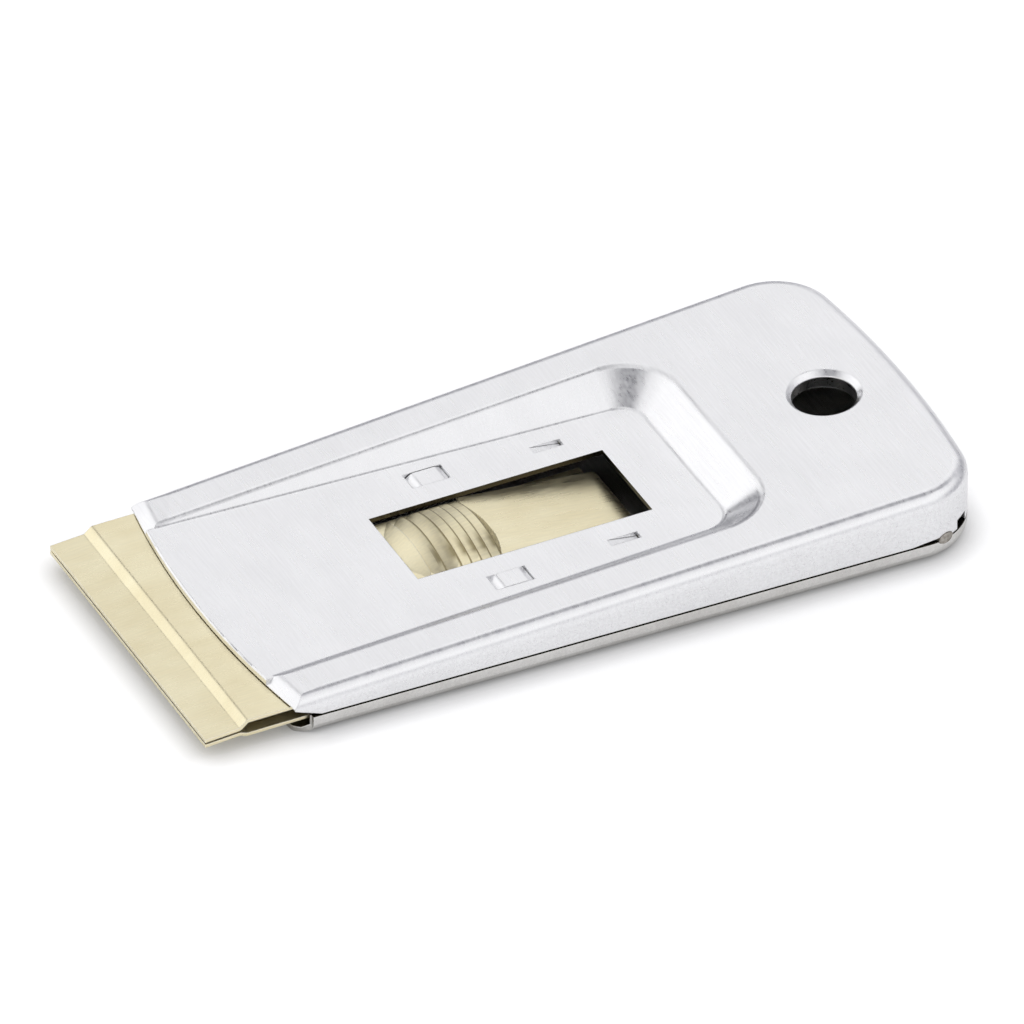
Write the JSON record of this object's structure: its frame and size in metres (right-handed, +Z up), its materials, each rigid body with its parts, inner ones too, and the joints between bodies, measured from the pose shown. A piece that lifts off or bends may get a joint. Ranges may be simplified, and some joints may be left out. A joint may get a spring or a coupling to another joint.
{
  "type": "glass scraper",
  "caption": "Flat pocket glass scraper with a pressed steel housing, a thumb window and a sliding folded carrier that holds a single-edge blade.",
  "frame": {"origin": "under the middle of the whole scraper on the surface it lies on, with the carrier fully out", "axes": "+Y from the blade end to the hang hole, +Z up through the thumb window, X across"},
  "size_m": [0.0446, 0.0932, 0.009],
  "materials": {
    "top_shell": "bright sheet steel, brushed across its width, satin",
    "bottom_shell": "bright sheet steel, brushed across its width, satin",
    "corner_welds": "tack weld, dull grey brown",
    "blade_carrier": "spring steel strip with a pale matte gold plating and bare cut edges"
  },
  "bodies": {
    "housing": {"top_shell": "top_shell", "bottom_shell": "bottom_shell", "corner_welds": "corner_welds"},
    "carrier": {"blade_carrier": "blade_carrier"}
  },
  "joints": [
    {"name": "carrier_slide", "type": "slide", "parent": "housing", "child": "carrier", "axis": [0, 1, 0], "range_m": [0, 0.0162]}
  ]
}
